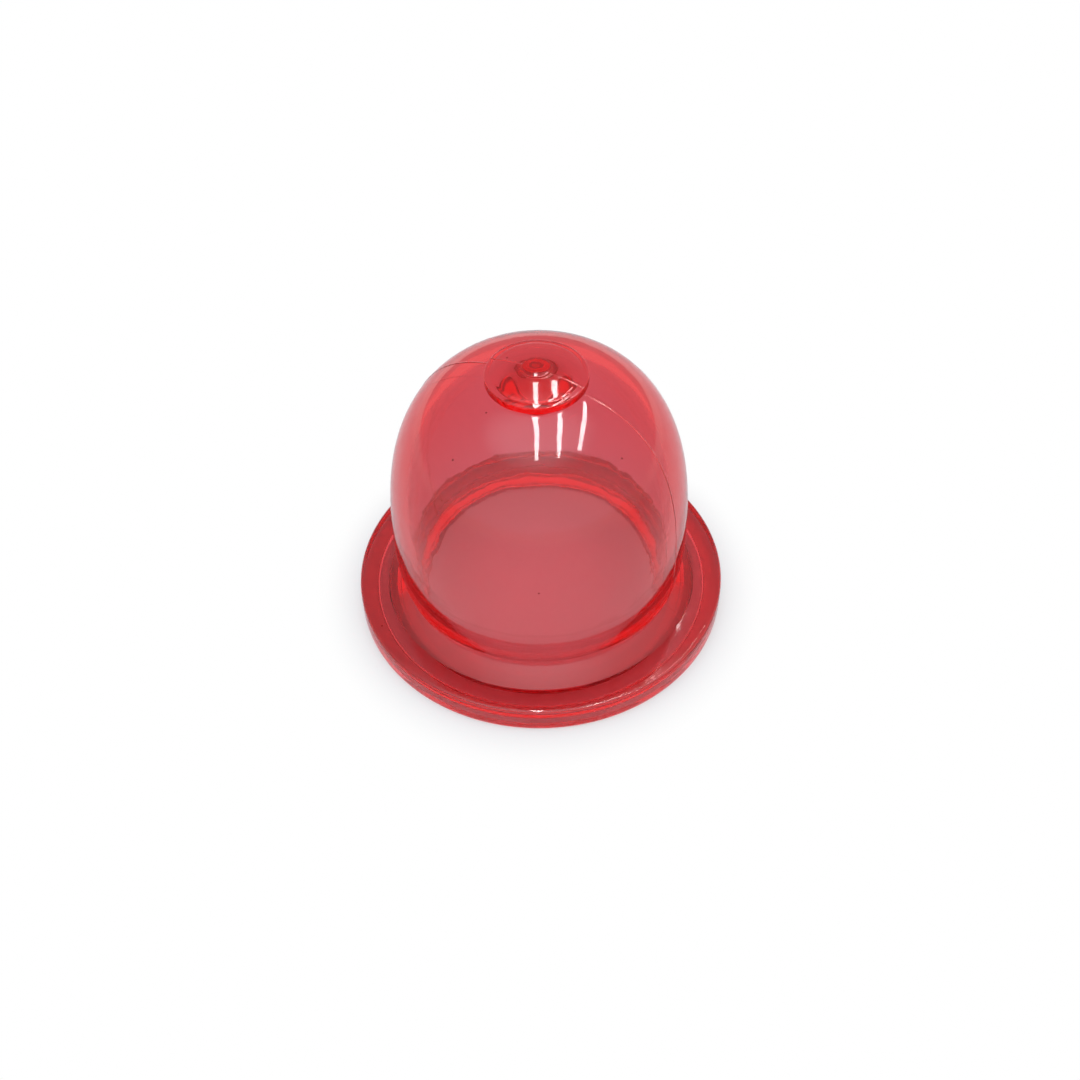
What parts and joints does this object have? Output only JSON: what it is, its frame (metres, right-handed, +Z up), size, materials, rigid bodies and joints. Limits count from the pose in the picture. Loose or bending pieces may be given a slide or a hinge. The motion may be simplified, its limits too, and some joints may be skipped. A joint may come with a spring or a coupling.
{
  "type": "primer bulb",
  "caption": "Clear red primer bulb for a small engine's fuel pump: a hollow dome with a raised thumb pad, moulded in one with a round flange that has a sealing groove beneath.",
  "frame": {"origin": "centre of the flange's flat underside", "axes": "+Z up the bulb's axis, towards the thumb pad"},
  "size_m": [0.0222, 0.0222, 0.0176],
  "materials": {
    "clear_red_rubber": "clear red polyurethane rubber, glossy, with a fine moulding line"
  },
  "bodies": {
    "root": {"primer_bulb": "clear_red_rubber"}
  },
  "joints": []
}
